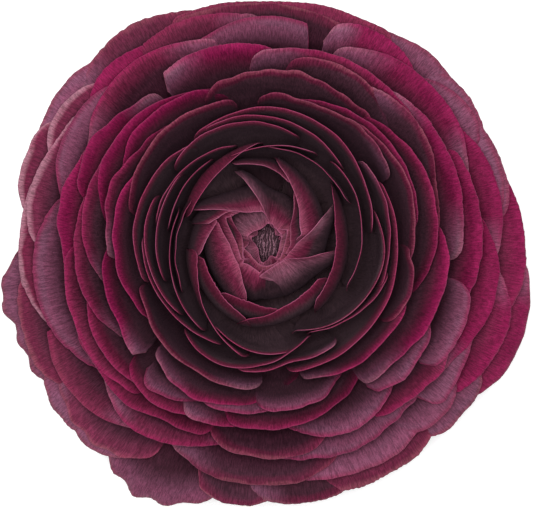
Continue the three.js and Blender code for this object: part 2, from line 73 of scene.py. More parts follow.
# The whorls, from the middle out, each with its material slot and:
#   root       the heights between which its petals leave the receptacle
#   thick      the petals' thickness
#   wave       the height of the slow waves along the rims
#   notch      the height of the small notches in the rims
#   curl       how far the rims curl outwards
#   tuck       how far a petal's ends run on under its neighbours
#   corner     how far before its end a rim starts to turn down
#   slides     whether ends near the axis slide in under their neighbour
#   step       the width of the mesh's columns
#   rows       the number of rows from root to rim
#
# A petal is the angles where its rim begins and ends, then the rim's distance from the axis at five even
# steps between them. Words after them say what sets it apart: it is mauve all over or at its start or end
# (a painted sheen), bright (painted light), dark (painted shade) or pale (a painted highlight). A square
# start or end has a sharp corner, a slanting start tapers to the root, a hooked petal bulges below its rim,
# and pleats fold it across.
WHORLS = {
    "heart_petals": dict(
        slot="petal_heart", root=(24.2, 27.5), thick=0.20, wave=0.04, notch=0.05, curl=0.0,
        tuck=0.4, corner=0.6, slides=True, step=0.4, rows=26,
        petals=[
            (155, 258, 3.6, 2.3, 1.95, 2.6, 4.1, "mauve"),
            (300, 392, 3.3, 2.7, 2.45, 2.6, 3.4, "mauve dark"),
            (302, 396, 3.8, 3.5, 3.35, 3.7, 4.9, "dark"),
            (83, 163, 4.3, 3.3, 3.3, 3.7, 4.1, "mauve"),
            (189, 254, 4.6, 4.0, 3.85, 4.0, 4.5, "dark"),
            (250, 306, 4.4, 4.35, 4.25, 4.1, 3.9, "dark"),
            (30, 110, 3.3, 3.35, 3.75, 5.2, 12.9, "mauve_end"),
            (330, 424, 4.0, 4.4, 4.8, 6.2, 11.4, "dark"),
            (259, 353, 5.95, 4.65, 4.4, 5.6, 11.6, "mauve square_start slant_start"),
            (217, 257, 6.1, 5.5, 5.4, 5.5, 5.9),
            (141, 213, 9.4, 5.6, 4.75, 4.8, 5.5, "dark"),
            (147, 212, 9.8, 7.2, 6.0, 5.7, 5.9),
            (305, 388, 4.2, 4.5, 5.0, 6.8, 12.6, "mauve_end"),
            (95, 155, 6.4, 6.7, 7.6, 10.3, 15.3),
            (154, 250, 10.6, 7.6, 6.9, 7.5, 10.8, "bright"),
            (13, 83, 6.9, 7.5, 9.4, 12.2, 16.0, "bright"),
            (69, 113, 12.6, 14.1, 15.3, 16.1, 16.9),
            (153, 190, 10.7, 11.0, 11.6, 12.4, 13.4),
            (138, 163, 9.6, 10.3, 10.8, 11.6, 12.5, "dark"),
        ],
    ),
    "inner_petals": dict(
        slot="petal_dark", root=(19.4, 22.2), thick=0.20, wave=0.12, notch=0.15, curl=0.25,
        tuck=0.9, corner=1.2, slides=False, step=0.5, rows=20,
        petals=[
            (226, 281, 12.6, 12.0, 11.8, 12.2, 12.7),
            (253, 328, 15.2, 13.7, 12.4, 12.0, 11.9),
            (191, 256, 12.5, 12.6, 13.0, 13.9, 15.1),
            (308, 401, 14.7, 13.7, 13.3, 14.0, 16.4, "bright"),
            (186, 258, 13.4, 14.8, 17.0, 19.6, 22.6, "bright"),
            (95, 160, 19.6, 17.8, 16.6, 16.0, 15.8, "bright hooked"),
            (63, 112, 20.0, 19.6, 19.1, 18.7, 18.4),
            (28, 88, 17.6, 17.8, 18.3, 18.6, 18.7),
            (150, 207, 16.9, 17.2, 17.6, 18.2, 18.7),
            (332, 410, 17.5, 18.1, 18.8, 19.8, 20.4),
            (160, 232, 18.2, 18.8, 19.5, 20.3, 21.0),
            (125, 170, 19.6, 19.7, 19.7, 19.5, 19.4),
            (239, 280, 19.0, 20.1, 21.0, 21.5, 21.5),
            (142, 198, 21.6, 21.7, 21.7, 21.6, 21.4),
            (109, 168, 20.2, 21.2, 21.8, 22.2, 22.2),
            (288, 376, 17.6, 20.2, 22.0, 23.0, 22.0, "dark"),
            (296, 345, 19.0, 20.6, 22.0, 23.4, 24.5),
            (340, 400, 23.7, 23.9, 24.3, 24.7, 24.9, "mauve_end"),
            (158, 218, 23.8, 24.0, 23.6, 22.8, 21.9),
            (178, 244, 24.4, 24.0, 23.2, 22.5, 21.7),
            (75, 139, 22.0, 23.6, 24.4, 24.8, 23.8),
            (46, 118, 21.0, 22.8, 24.4, 25.4, 25.6),
            (228, 294, 23.8, 25.3, 24.4, 22.4, 19.6),
            (258, 304, 25.4, 24.8, 23.5, 23.9, 23.8, "mauve_end"),
            (128, 196, 24.4, 25.8, 26.1, 26.1, 25.2),
            (8, 123, 20.6, 23.0, 25.7, 26.7, 25.6),
            (281, 388, 25.6, 25.9, 26.0, 25.5, 25.4, "bright"),
        ],
    ),
    "middle_petals": dict(
        slot="petal_magenta", root=(15.4, 17.9), thick=0.24, wave=0.30, notch=0.14, curl=0.50,
        tuck=2.4, corner=1.2, slides=False, step=0.5, rows=17,
        petals=[
            (203, 263, 26.6, 27.6, 28.3, 28.5, 28.4, "dark mauve_end"),
            (289, 333, 27.8, 28.9, 29.2, 29.8, 30.0, "mauve_start"),
            (331, 355, 28.6, 29.4, 29.5, 29.2, 28.0, "dark"),
            (33, 89, 28.2, 28.8, 29.0, 28.6, 29.4, "dark mauve_start"),
            (107, 163, 29.2, 29.7, 29.9, 29.3, 28.0, "dark"),
            (355, 412, 28.2, 29.2, 30.0, 29.9, 29.4, "dark"),
            (151, 211, 29.2, 30.1, 29.9, 29.0, 27.6, "bright"),
            (10, 75, 29.8, 30.8, 31.0, 30.4, 29.1),
            (132, 181, 30.0, 31.5, 32.3, 32.2, 31.4, "mauve_end"),
            (176, 220.5, 30.6, 32.2, 32.9, 33.1, 34.0, "bright mauve_end square_end"),
            (228, 281, 31.6, 33.2, 32.6, 30.8, 28.2, "mauve_start"),
            (270, 297, 32.4, 32.8, 32.4, 32.0, 29.8, "mauve"),
            (250, 278, 33.6, 33.7, 33.4, 32.4, 30.8, "mauve"),
            (345, 410, 31.2, 33.2, 34.0, 33.6, 32.0),
            (50, 110, 31.6, 33.0, 34.0, 33.9, 32.2, "dark"),
            (108, 151, 31.6, 33.2, 34.0, 33.8, 32.4, "bright"),
            (109, 170, 32.2, 34.5, 36.2, 36.0, 32.8, "bright"),
            (152, 193, 36.0, 36.7, 36.7, 35.4, 33.0, "mauve_end"),
            (230, 247, 36.8, 36.2, 35.6, 34.8, 33.4, "mauve"),
            (308, 363.5, 34.0, 34.4, 35.6, 35.9, 34.8, "bright mauve_start"),
            (260, 309, 36.4, 36.3, 35.6, 33.6, 30.8),
            (246, 280, 37.4, 37.0, 36.0, 34.6, 33.0, "mauve_start"),
            (39, 80, 32.8, 35.6, 37.4, 38.0, 37.2, "dark mauve_start"),
            (6, 57, 34.1, 35.2, 37.4, 38.1, 37.0, "dark mauve_end"),
            (165, 213.5, 36.8, 37.9, 37.8, 36.6, 33.6, "mauve_end"),
            (196, 235, 36.8, 38.4, 38.8, 37.8, 35.4),
            (224, 266, 37.6, 38.3, 37.4, 35.6, 33.6, "mauve_end"),
            (309, 336, 36.8, 37.8, 37.5, 36.8, 35.2, "mauve"),
            (40, 92, 38.0, 39.0, 39.6, 39.1, 38.0, "mauve_end"),
            (276, 312, 36.4, 39.2, 40.5, 39.8, 37.2, "mauve"),
            (74, 122, 35.2, 37.8, 40.0, 40.4, 39.4, "bright mauve_end square_end"),
            (358, 410.5, 38.4, 39.3, 40.1, 40.1, 39.2, "bright mauve_start mauve_end"),
        ],
    ),
    "outer_petals": dict(
        slot="petal_magenta", root=(10.6, 13.3), thick=0.26, wave=0.78, notch=0.11, curl=0.45,
        tuck=2.6, corner=1.2, slides=False, step=0.52, rows=14,
        petals=[
            (129, 163, 37.4, 38.6, 40.0, 40.2, 39.2, "bright mauve_start"),
            (183, 227, 39.8, 40.8, 41.4, 41.2, 40.0),
            (153, 191, 40.4, 41.6, 41.8, 40.6, 39.2, "bright"),
            (206, 251, 41.2, 42.1, 41.9, 40.8, 39.2),
            (326, 346, 42.0, 42.3, 42.3, 42.1, 41.4, "mauve"),
            (256, 285, 40.6, 41.9, 42.7, 42.3, 41.0, "dark"),
            (304, 331, 41.2, 41.8, 42.2, 43.0, 41.2, "mauve_end"),
            (330, 385, 38.8, 41.0, 42.6, 42.7, 42.0, "bright mauve_start"),
            (274, 315, 42.6, 44.0, 44.4, 43.6, 42.0, "mauve"),
            (106, 152, 42.6, 44.2, 45.0, 43.6, 40.6, "mauve_start mauve_end"),
            (79, 116.5, 44.6, 45.4, 44.9, 42.8, 41.2, "mauve square_start"),
            (19, 68, 42.4, 45.0, 45.5, 44.8, 42.4, "bright mauve_start mauve_end"),
            (221, 265, 42.6, 45.6, 44.4, 41.6, 38.0, "mauve_start mauve_end"),
            (135, 167.5, 44.6, 46.0, 45.9, 44.8, 42.0, "mauve"),
            (321, 366.8, 42.4, 44.6, 46.8, 46.5, 43.2, "bright mauve_start"),
            (318, 336, 47.6, 47.0, 46.4, 45.8, 45.0, "mauve"),
            (167.5, 215.5, 42.6, 46.2, 47.2, 46.0, 42.4, "mauve"),
            (357, 392, 46.0, 47.4, 47.6, 46.8, 44.8, "bright mauve_start"),
            (50, 71, 45.6, 47.2, 47.8, 47.8, 46.8, "bright mauve_end"),
            (60, 112, 44.2, 46.6, 48.0, 48.4, 48.6, "dark"),
            (93, 130, 45.8, 47.2, 47.9, 47.1, 45.0, "mauve_start"),
            (120, 141, 46.2, 47.3, 47.8, 47.4, 45.6, "bright"),
            (245, 288, 44.4, 47.6, 48.3, 48.2, 45.0, "dark mauve_start"),
            (146, 178, 46.2, 47.0, 48.3, 48.8, 47.6, "pale"),
            (26, 47, 47.6, 49.0, 48.8, 47.6, 45.6, "mauve"),
            (9, 40, 48.0, 49.4, 49.2, 48.8, 45.6, "mauve"),
            (201, 234.5, 47.2, 49.1, 49.3, 48.2, 45.4, "square_start mauve_end"),
            (308, 322, 48.2, 49.2, 49.4, 49.2, 48.4, "mauve"),
            (279, 309, 48.0, 48.9, 49.4, 49.7, 48.2, "mauve"),
            (138, 156, 48.0, 49.2, 49.8, 49.6, 48.4, "pale"),
            (168, 200, 48.6, 49.4, 50.0, 49.2, 46.8, "pale"),
            (322, 353, 48.6, 50.6, 51.5, 50.7, 47.2, "bright mauve_end"),
            (186, 213, 49.4, 51.4, 52.5, 52.8, 51.2),
            (211, 240, 49.4, 52.0, 53.4, 52.8, 50.0, "mauve_start pleats"),
            (345, 377, 50.8, 52.4, 52.0, 51.2, 49.6, "bright"),
            (8, 32, 48.8, 50.0, 50.0, 49.4, 48.0, "mauve"),
            (26, 45, 48.8, 49.8, 50.2, 50.0, 49.2, "mauve"),
            (36, 62, 49.6, 50.0, 50.4, 49.8, 48.8, "mauve"),
            (60, 92, 49.2, 49.0, 49.2, 48.8, 48.6),
            (78, 112, 48.4, 48.6, 48.8, 49.2, 49.2),
            (104, 141, 48.4, 50.6, 52.0, 51.4, 48.8, "mauve_end"),
            (133, 163, 50.8, 52.1, 51.9, 51.1, 49.0, "mauve"),
            (152, 172, 51.2, 51.8, 51.9, 51.4, 49.6, "pale"),
            (165, 190, 48.8, 49.4, 49.6, 50.0, 50.0, "pale"),
            (183, 213, 51.5, 54.7, 54.0, 53.8, 52.9, "mauve pleats"),
            (211, 229, 52.6, 54.2, 54.6, 54.2, 53.0, "mauve"),
            (222, 236, 53.4, 54.3, 54.6, 54.0, 52.4, "mauve"),
            (233, 258, 53.8, 56.8, 57.3, 55.6, 52.7, "mauve pleats"),
            (256, 271, 52.1, 52.9, 52.8, 52.6, 51.6, "dark"),
            (268, 293, 51.2, 52.8, 52.7, 52.3, 50.6, "dark mauve_start"),
            (286, 311, 51.8, 52.6, 52.5, 52.4, 50.9),
            (310, 327, 50.9, 52.1, 52.3, 52.6, 51.9, "mauve"),
            (324.5, 355, 52.5, 54.9, 55.1, 54.6, 52.9, "bright mauve_end"),
        ],
    ),
}

# How a petal's end is made, in millimetres: how far it runs on under its neighbour, how far before the end
# the corner starts, how far the corner falls, and how far it dives towards the axis.
End = namedtuple("End", "tuck corner fall dive")
CORNER_FALL = 9.0
SQUARE_END = End(tuck=0.5, corner=0.7, fall=CORNER_FALL, dive=0.0)
SLIDING_END = End(tuck=2.0, corner=0.1, fall=3.5, dive=2.4)
SLIDES_WITHIN = 10.0  # of the axis
SLANT_FALL = 0.8
DIVE_POWER = 0.7

# The petals' outline: shares of the full width at shares of the length, from the root to the rim.
WIDTH_AT = ([0, 0.25, 0.5, 0.78, 1], [0.25, 0.62, 0.9, 1, 1])
SLANT_AT = ([0, 0.8, 0.9, 0.97, 1], [0.3, 0.35, 0.5, 0.8, 0.97])
SPREADING = (27, 34)  # petals with layers below the first stand upright, those above the second spread
LAYER_GAP = 0.1

# The petals' relief.
NOTCH_SPACING = 2.4
NOTCH_WAVES = 5
NOTCH_FALLOFF = 0.3
WAVE_SPACING = 7.0
WAVE_COUNT = 3
WAVE_PITCH = 0.9  # half waves of the longest wave for each spacing
WAVE_PHASES = 6.28  # a full turn
WAVE_NORM = 1.6  # brings a sum of random waves back to a height of about one
GUARD_CALM = ([42, 50], [1.0, 0.5])  # the share of their waves that petals with layers this far out keep
CURL_REACH = 3.5
PLEAT_HEIGHT = 0.9
PLEAT_SPACING = 6.5
HOOK_HEIGHT = 1.5
HOOK_REACH = 12.0
SIDE_SHARPNESS = 16  # the higher, the later the blade thins out towards its sides
RIM_THINNING = 0.45
RIM_SHARPNESS = 12

# The petals' grids.
ROW_CROWDING = 1.6  # the rows lie closer together towards the rim
COLUMNS = (16, 110)  # at least, at most
ARC_POINTS = 60  # with which a meridian's length is measured
UV_MARGIN = 0.03  # round each petal's island, as a share of its cell
TINY = 1e-12  # keeps a normal of no length from dividing by zero

# What the petals' material is told of each point: its place across the petal and its depth below the rim,
# the rim's distance from the axis, how mauve it is (painted sheen), how bright it is (painted light, or
# painted shade where it is dark, below 0), how pale it is (a painted highlight), the petal's tone, and a
# number that sets its noise apart.
PETAL_FACTS = ("vein", "depth", "rim", "mauve", "painted_light", "pale", "tone", "number")
# Where the painted mauve sheen and the painted pale highlight lie.
MAUVE_SHARE = 0.85  # of a petal that is mauve all over
MAUVE_SIDES = (0.35, 0.75)  # the shares of the way to a mauve end at which it begins and is full
PALE_SIDES = (0.55, 0.95)
CORNER_PALENESS = 0.55
STRAY_MAUVE = 0.2  # at most, at random, growing as rims lie from the first of these to the second
STRAY_RIMS = (24, 54)
PAINTED_LIGHT_FADE = 0.6  # towards the petal's sides
TONES = 0.1
NOISE_OFFSETS = 90


def smooth(knots, values, at):
    """A smooth curve through the values at the knots."""
    knots = np.asarray(knots, float)
    values = np.asarray(values, float)
    slopes = np.gradient(values, knots)
    at = np.clip(at, knots[0], knots[-1])
    k = np.clip(np.searchsorted(knots, at) - 1, 0, len(knots) - 2)
    span = knots[k + 1] - knots[k]
    t = (at - knots[k]) / span
    start = (1 + 2 * t) * (1 - t) ** 2 * values[k] + t * (1 - t) ** 2 * span * slopes[k]
    end = t * t * (3 - 2 * t) * values[k + 1] + t * t * (t - 1) * span * slopes[k + 1]
    return start + end


def bezier(places, share):
    """A curve from the first of four places to the last, drawn towards the two between them."""
    weights = [(1 - share) ** 3, 3 * share * (1 - share) ** 2, 3 * share**2 * (1 - share), share**3]
    return sum(weight * place for weight, place in zip(weights, places))


def ramp(value, low, high):
    """0 up to low, 1 from high on, and even between them."""
    return np.clip((value - low) / (high - low), 0, 1)


def waves(draw, places, count, falloff=1.0):
    """A sum of sine waves, each shorter than the last, with a height of about one."""
    total = np.zeros_like(places)
    for n in range(1, count + 1):
        height, phase = draw.normal() / n**falloff, draw.uniform(0, WAVE_PHASES)
        total += height * np.sin(math.pi * n * places * WAVE_PITCH + phase)
    return total / WAVE_NORM


def around(out, turn, up):
    """Points at distances from the axis, angles in radians round it, and heights."""
    return np.stack([out * np.cos(turn), out * np.sin(turn), up], axis=-1)


def normals(points):
    """Unit normals of a grid: outwards where its rows run up a petal, down where they run out a sepal."""
    facing = np.cross(np.gradient(points, axis=1), np.gradient(points, axis=0))
    return facing / (np.linalg.norm(facing, axis=-1, keepdims=True) + TINY)


class Sheets:
    """Gathers grids of points into one mesh, with a UV island and the material's facts for each grid."""

    def __init__(self, name, count, fact_names):
        self.name = name
        self.fact_names = fact_names
        self.cells = math.ceil(math.sqrt(count + 1))
        self.points, self.faces, self.uvs, self.facts = [], [], [], []
        self.start = 0

    def add(self, sheet, **facts):
        """Adds a grid. A fact is a number or a grid of them, and 0 where it isn't given."""
        rows, columns = sheet.shape[:2]
        index = self.start + np.arange(rows * columns).reshape(rows, columns)
        quads = np.stack([index[:-1, :-1], index[1:, :-1], index[1:, 1:], index[:-1, 1:]], axis=-1)
        cell_up, cell_across = divmod(len(self.points), self.cells)
        across, along = np.meshgrid(*(np.linspace(UV_MARGIN, 1 - UV_MARGIN, n) for n in (columns, rows)))
        uv = np.stack([cell_across + across, cell_up + along], axis=-1) / self.cells
        whole = {key: np.broadcast_to(facts.get(key, 0.0), (rows, columns)) for key in self.fact_names}
        self.points.append(sheet.reshape(-1, 3))
        self.faces.append(quads.reshape(-1, 4))
        self.uvs.append(uv.reshape(-1, 2))
        self.facts.append({key: value.reshape(-1) for key, value in whole.items()})
        self.start += rows * columns

    def add_blade(self, first, second, **facts):
        """Adds a blade's two faces as one grid: up the first to its last row, then down the second."""
        for key, value in facts.items():
            if np.ndim(value):
                facts[key] = np.concatenate([value, value[::-1]])
        self.add(np.concatenate([first, second[::-1]]), **facts)

    def stand_for(self, node, material):
        """Makes the mesh, dresses it, and lets it stand for its solid."""
        faces = np.concatenate(self.faces)
        mesh = bpy.data.meshes.new(self.name)
        mesh.from_pydata(((np.concatenate(self.points) + AXIS) * MM).tolist(), [], faces.tolist())
        mesh.shade_smooth()
        layer = mesh.uv_layers.new(name="OFBake")
        layer.data.foreach_set("uv", np.concatenate(self.uvs)[faces.reshape(-1)].reshape(-1))
        for key in self.fact_names:
            attribute = mesh.attributes.new(key, "FLOAT", "POINT")
            attribute.data.foreach_set("value", np.concatenate([facts[key] for facts in self.facts]))
        mesh.materials.append(material)
        made = bpy.data.objects.new(self.name, mesh)
        bpy.context.scene.collection.objects.link(made)
        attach(made, "root")
        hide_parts(node)


def meridian(rim, root_up, share):
    """The points (out, up) at shares of a petal's meridian curve, for grids of rims and roots' heights."""
    curve = {key: smooth(FAMILY["rim"], values, rim) for key, values in FAMILY.items()}
    slope = np.radians(curve["slope"])
    handle_out, handle_up = curve["handle"] * np.cos(slope), curve["handle"] * np.sin(slope)
    outs = [ROOT_RADIUS, curve["belly_out"], rim - handle_out, rim]
    ups = [root_up, root_up + curve["belly_up"], curve["height"] - handle_up, curve["height"]]
    return bezier(outs, share), bezier(ups, share)


def rims_of(shape):
    """The five distances from the axis of each petal's rim in a whorl."""
    return [petal[2:7] for petal in shape["petals"]]


def layers_of(shape):
    """How far out each petal's layer lies: at its rim's farthest point, a little apart from the others."""
    layers = np.array([max(rims) for rims in rims_of(shape)], float)
    order = np.argsort(layers, kind="stable")
    for below, above in zip(order[1:], order):
        layers[below] = max(layers[below], layers[above] + LAYER_GAP)
    return layers


class Petal:
    """One petal of a whorl, as a grid whose rows run from the root to the rim, and columns across it."""

    def __init__(self, row, layer, shape):
        first, last, *rims = row[:7]
        self.look = " ".join(row[7:]).split()
        self.layer = layer
        self.shape = shape
        mm_per_degree = math.radians(np.mean(rims))
        self.shown = (last - first) * mm_per_degree
        self.ends = [self.end_at("start", rims[0]), self.end_at("end", rims[-1])]
        tucks = [end.tuck for end in self.ends]
        columns = int(np.clip((self.shown + sum(tucks)) / shape["step"], *COLUMNS))
        across = np.linspace(-tucks[0], self.shown + tucks[1], columns + 1) - self.shown / 2
        share = 1 - (1 - np.linspace(0, 1, shape["rows"] + 1)) ** ROW_CROWDING
        self.across, self.share = np.meshgrid(across, share)
        self.side = self.across / (self.shown / 2 + shape["tuck"])
        self.angle = (first + last) / 2 + self.across / mm_per_degree * self.width()
        self.rim = smooth(np.linspace(first, last, len(rims)), rims, self.angle)

    def end_at(self, name, rim):
        """How the petal's start or end is made."""
        if "square_" + name in self.look:
            end = SQUARE_END
        elif self.shape["slides"] and rim < SLIDES_WITHIN:
            end = SLIDING_END
        else:
            end = End(self.shape["tuck"], self.shape["corner"], CORNER_FALL, 0.0)
        if "slant_" + name in self.look:
            end = end._replace(fall=SLANT_FALL)
        return end

    def width(self):
        """The share of the petal's full width at each point."""
        width = np.interp(self.share, *WIDTH_AT)
        if "slant_start" in self.look:
            width = width * (1 - np.clip(-self.side, 0, 1) * (1 - np.interp(self.share, *SLANT_AT)))
        return width

    def nearness(self):
        """How near each point is to the petal's start and end: 0 up to the corner, 1 at the very end."""
        return [
            np.clip((way * self.across - self.shown / 2 + end.corner) / (end.tuck + end.corner), 0, 1)
            for way, end in zip((-1, 1), self.ends)
        ]

    def root_up(self, bend):
        """The height where each point's curve leaves the receptacle: the farther out its rim, the lower."""
        rims = np.array(rims_of(self.shape))
        low, high = self.shape["root"]
        return np.interp(bend, [rims.min(), rims.max()], [high, low])

    def blade(self, draw):
        """The points halfway through the blade, before its relief. Sets how deep they lie below the rim."""
        # Upright petals bend round with their rim. Spreading ones lie in one layer, and their outline is
        # cut to their rim.
        near = self.nearness()
        spread = np.interp(self.layer, SPREADING, [0, 1])
        dive = np.maximum(*(end.dive * close**DIVE_POWER for end, close in zip(self.ends, near)))
        bend = self.rim + spread * (self.layer - self.rim) - np.minimum(dive, self.rim - FAMILY["rim"][0])
        root_up = self.root_up(bend)
        arc = np.linspace(0, 1, ARC_POINTS)
        outs, ups = meridian(bend[-1:], root_up[-1:], arc[:, None])
        length = np.hypot(np.diff(outs, axis=0), np.diff(ups, axis=0)).sum(axis=0)
        cut_at = np.ones_like(length)
        if spread > 0:
            cut_at = np.array([np.interp(rim, column, arc) for rim, column in zip(self.rim[-1], outs.T)])
        fall = sum(end.fall * (1 - np.sqrt(1 - close**2)) for end, close in zip(self.ends, near))
        notches = waves(draw, self.across / NOTCH_SPACING, NOTCH_WAVES, NOTCH_FALLOFF)
        notches = self.shape["notch"] * notches * self.share**8
        out, up = meridian(bend, root_up, self.share * (cut_at - (fall * self.share + notches) / length))
        self.depth = (1 - self.share) * length
        return around(out, np.radians(self.angle), up)

    def relief(self, draw):
        """How far the blade is lifted outwards, in waves, pleats, the rim's curl and the hook's bulge."""
        lift = self.shape["wave"] * waves(draw, self.across / WAVE_SPACING, WAVE_COUNT) * self.share**5
        lift = lift * np.interp(self.layer, *GUARD_CALM)
        if "pleats" in self.look:
            lift += PLEAT_HEIGHT * np.cos(2 * math.pi * self.across / PLEAT_SPACING) * self.share**3
        lift += self.shape["curl"] * np.clip(1 - self.depth / CURL_REACH, 0, 1) ** 2
        if "hooked" in self.look:
            bulge = np.sin(math.pi * np.clip(self.depth / HOOK_REACH, 0, 1)) ** 2
            lift += HOOK_HEIGHT * bulge * (1 - self.side**2).clip(0, 1)
        return lift

    def half_thickness(self):
        """Half of the blade's thickness, which runs out to nothing at the sides."""
        from_start = (self.across - self.across[0, 0]) / (self.across[0, -1] - self.across[0, 0])
        fullness = 1 - np.abs(2 * from_start - 1) ** SIDE_SHARPNESS
        return self.shape["thick"] * fullness * (1 - RIM_THINNING * self.share**RIM_SHARPNESS) / 2

    def facts(self, draw):
        """What the material is told of each point."""
        # Mauve is a painted sheen and paleness a painted highlight; some mauve comes at random on the outer
        # petals.
        mauve = np.full_like(self.side, MAUVE_SHARE * ("mauve" in self.look))
        pale = np.full_like(self.side, "pale" in self.look)
        for word, way in (("mauve_start", -1), ("mauve_end", 1)):
            if word in self.look:
                mauve = np.maximum(mauve, ramp(way * self.side, *MAUVE_SIDES))
                pale = np.maximum(pale, CORNER_PALENESS * ramp(way * self.side, *PALE_SIDES))
        stray = draw.uniform(0, STRAY_MAUVE) * ramp(self.rim, *STRAY_RIMS)
        # Bright petals are painted as lit (painted light), dark ones as lying in shade (painted shade).
        painted_light = ("bright" in self.look) - ("dark" in self.look)
        return {
            "vein": self.across,
            "depth": self.depth,
            "rim": self.rim,
            "mauve": mauve + stray * ("bright" not in self.look),
            "painted_light": painted_light * (1 - PAINTED_LIGHT_FADE * self.side**2),
            "pale": pale,
            "tone": draw.uniform(-TONES, TONES),
            "number": draw.uniform(0, NOISE_OFFSETS),
        }

    def add_to(self, sheets, draw):
        """Adds the petal as a thin blade, its inner face first."""
        middle = self.blade(draw)
        outward = normals(middle)
        middle = middle + outward * self.relief(draw)[..., None]
        shift = outward * self.half_thickness()[..., None]
        sheets.add_blade(middle - shift, middle + shift, **self.facts(draw))


def whorl(name, material):
    """The petals of one whorl, standing for that whorl's solid."""
    shape = WHORLS[name]
    draw = np.random.default_rng(SEED + len(name))
    sheets = Sheets(name + "_dressed", len(shape["petals"]), PETAL_FACTS)
    for row, layer in zip(shape["petals"], layers_of(shape)):
        Petal(row, layer, shape).add_to(sheets, draw)
    sheets.stand_for(name, material)


# Heart core: the crumpled stamens and small inner petals that fill the heart's opening, as ridges side by
# side on a cushion. A ridge's across runs over it and its along from front to back, both from -1 to 1.
CORE_RIDGES = 9
CORE_SPREAD = 2.6  # the ridges stand from -CORE_SPREAD to CORE_SPREAD along x
CORE_SHIFT = 0.12  # at most, at random
CORE_ROUNDING = 0.9  # how far past the outermost ridges the core's rounded outline ends
CORE_HALF_LENGTH = 3.9
CORE_HALF_WIDTH = 0.42
CORE_FOOT = 29.6
CORE_TOP = 43.2
CORE_TOPS = (-0.7, 0.5)  # lower or higher, at random
CORE_DOME = 0.9  # how much lower a ridge is for each millimetre that it stands from the middle
CORE_DROP = 2.6  # of a ridge's crest, from its middle to its ends
CORE_LEAN = 0.16
CORE_TWIST = 0.1
CORE_CRUMPLE = 0.09
CORE_KNOBS = 0.35
CORE_TAPER = 1.35
CORE_GRID = (17, 49)
CUSHION_RADIUS = 4.8
CUSHION_TOP = 40.6
CUSHION_LOBES = ((5, 0.07), (11, 0.05))  # their number and height
CUSHION_LUMPS = 0.2
CUSHION_GRID = (65, 33)


def core_ridge(sheets, number, draw):
    """One crumpled strand, which lies front to back across the heart's opening."""
    middle = np.interp(number, [0, CORE_RIDGES - 1], [-CORE_SPREAD, CORE_SPREAD])
    middle += draw.uniform(-CORE_SHIFT, CORE_SHIFT)
    reach = CORE_HALF_LENGTH * math.sqrt(max(0.1, 1 - (middle / (CORE_SPREAD + CORE_ROUNDING)) ** 2))
    top = CORE_TOP - CORE_DOME * abs(middle) + draw.uniform(*CORE_TOPS)
    across, along = np.meshgrid(*(np.linspace(-1, 1, steps) for steps in CORE_GRID))
    bulge = np.sqrt(np.clip(1 - across**2, 0, 1))
    lean = CORE_LEAN * waves(draw, along * 1.5, 3) + CORE_TWIST * along
    crumple = CORE_CRUMPLE * waves(draw, along * 5 + across, 4, 0.4)
    width = CORE_HALF_WIDTH * (1 + CORE_KNOBS * waves(draw, along * 2.5, 3)) * np.cos(along * CORE_TAPER)
    crest = top - CORE_DROP * np.abs(along) ** 3 + CORE_KNOBS * waves(draw, along * 3, 4, 0.5)
    x = middle + lean + width * np.sign(across) * np.abs(across) ** 0.6 + crumple * bulge
    y = along * reach * (0.75 + 0.25 * bulge)
    z = CORE_FOOT + (crest - CORE_FOOT) * bulge + crumple
    # The crests are painted pale, palest on the middle ridges (a painted highlight), and the flanks darken
    # towards the foot (painted shade).
    highlight_in_middle = 0.3 + 0.7 * np.exp(-((middle / 0.8) ** 2))
    sheets.add(
        np.stack([x, y, z], axis=-1), vein=x * 2 + y, depth=(1 - bulge) * 6, mauve=bulge * highlight_in_middle,
        tone=draw.uniform(-0.3, 0.3), number=number * 2.3)


def core_cushion(sheets):
    """The lobed cushion that the ridges stand out of."""
    turn, share = np.meshgrid(
        np.linspace(0, 2 * math.pi, CUSHION_GRID[0]), np.linspace(0, 1, CUSHION_GRID[1]))
    (lobes, lobe_height), (folds, fold_height) = CUSHION_LOBES
    uneven = 1 + lobe_height * np.sin(turn * lobes + 1) + fold_height * np.sin(turn * folds + share * 9)
    out = CUSHION_RADIUS * np.sin(share * math.pi / 2) ** 0.8 * uneven
    up = CUSHION_TOP - (CUSHION_TOP - CORE_FOOT) * share**5 - 0.5 * share
    up = up + CUSHION_LUMPS * np.sin(out * 7 + turn * 3)
    # Darker towards its edge, where it drops into the heart: painted shade.
    sheets.add(around(out, turn, up)[:, ::-1], vein=turn * 3, depth=1.2 + out)


def heart_core(material):
    """The ridges and the cushion, as one piece."""
    draw = np.random.default_rng(SEED)
    sheets = Sheets("heart_core_dressed", CORE_RIDGES + 1, PETAL_FACTS)
    for number in range(CORE_RIDGES):
        core_ridge(sheets, number, draw)
    core_cushion(sheets)
    sheets.stand_for("heart_core", material)


# The stem, with its receptacle. Its profile is places out from the axis and up from the stem's foot.
STEM_PROFILE = [
    (0, 0), (3.9, 0), (4.15, 0.25), (4.1, 1.5), (3.95, 3), (4.2, 4.6), (4.55, 6), (4.6, 9), (4.6, 20),
    (4.6, 27), (3.9, 28.4), (2.6, 29.0), (0, 29.0),
]
STEM_SIDES = 96
STEM_ROWS = 60
STEM_RIDGES = 13
STEM_RIDGE = 0.09
STEM_FULL = 4.0  # the ridges fade where the stem is narrower than this
CUT_HEIGHT = 1.0  # the cut face's pale colour reaches up to here
FLUSH_HEIGHTS = (20.0, 25.0)  # inside the petals, the receptacle turns burgundy between these

